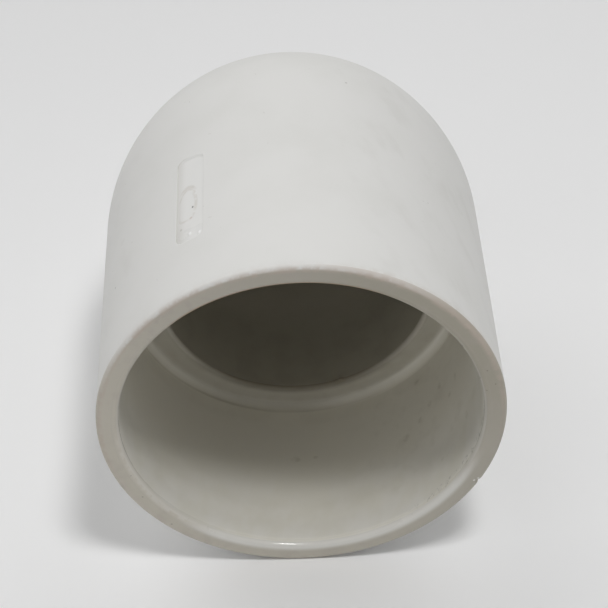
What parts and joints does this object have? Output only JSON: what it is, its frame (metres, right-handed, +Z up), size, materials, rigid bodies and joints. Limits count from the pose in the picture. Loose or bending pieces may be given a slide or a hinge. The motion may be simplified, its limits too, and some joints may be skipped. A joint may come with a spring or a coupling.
{
  "type": "pipe cap",
  "caption": "Domed socket end cap for solvent-weld plastic pressure pipe: a round cup with a smooth bore, an inner stop shoulder and a closed dome.",
  "frame": {"origin": "on the surface the cap lies on, below the middle of its length and its axis", "axes": "+Z up, axis of the cap along Y at half its outside diameter above the origin, mouth towards -Y, dome towards +Y"},
  "size_m": [0.071, 0.0872, 0.071],
  "materials": {
    "pvc": "semi-gloss injection-moulded white PVC-U, a little soiled and scuffed from handling"
  },
  "bodies": {
    "root": {"cap_body": "pvc"}
  },
  "joints": []
}
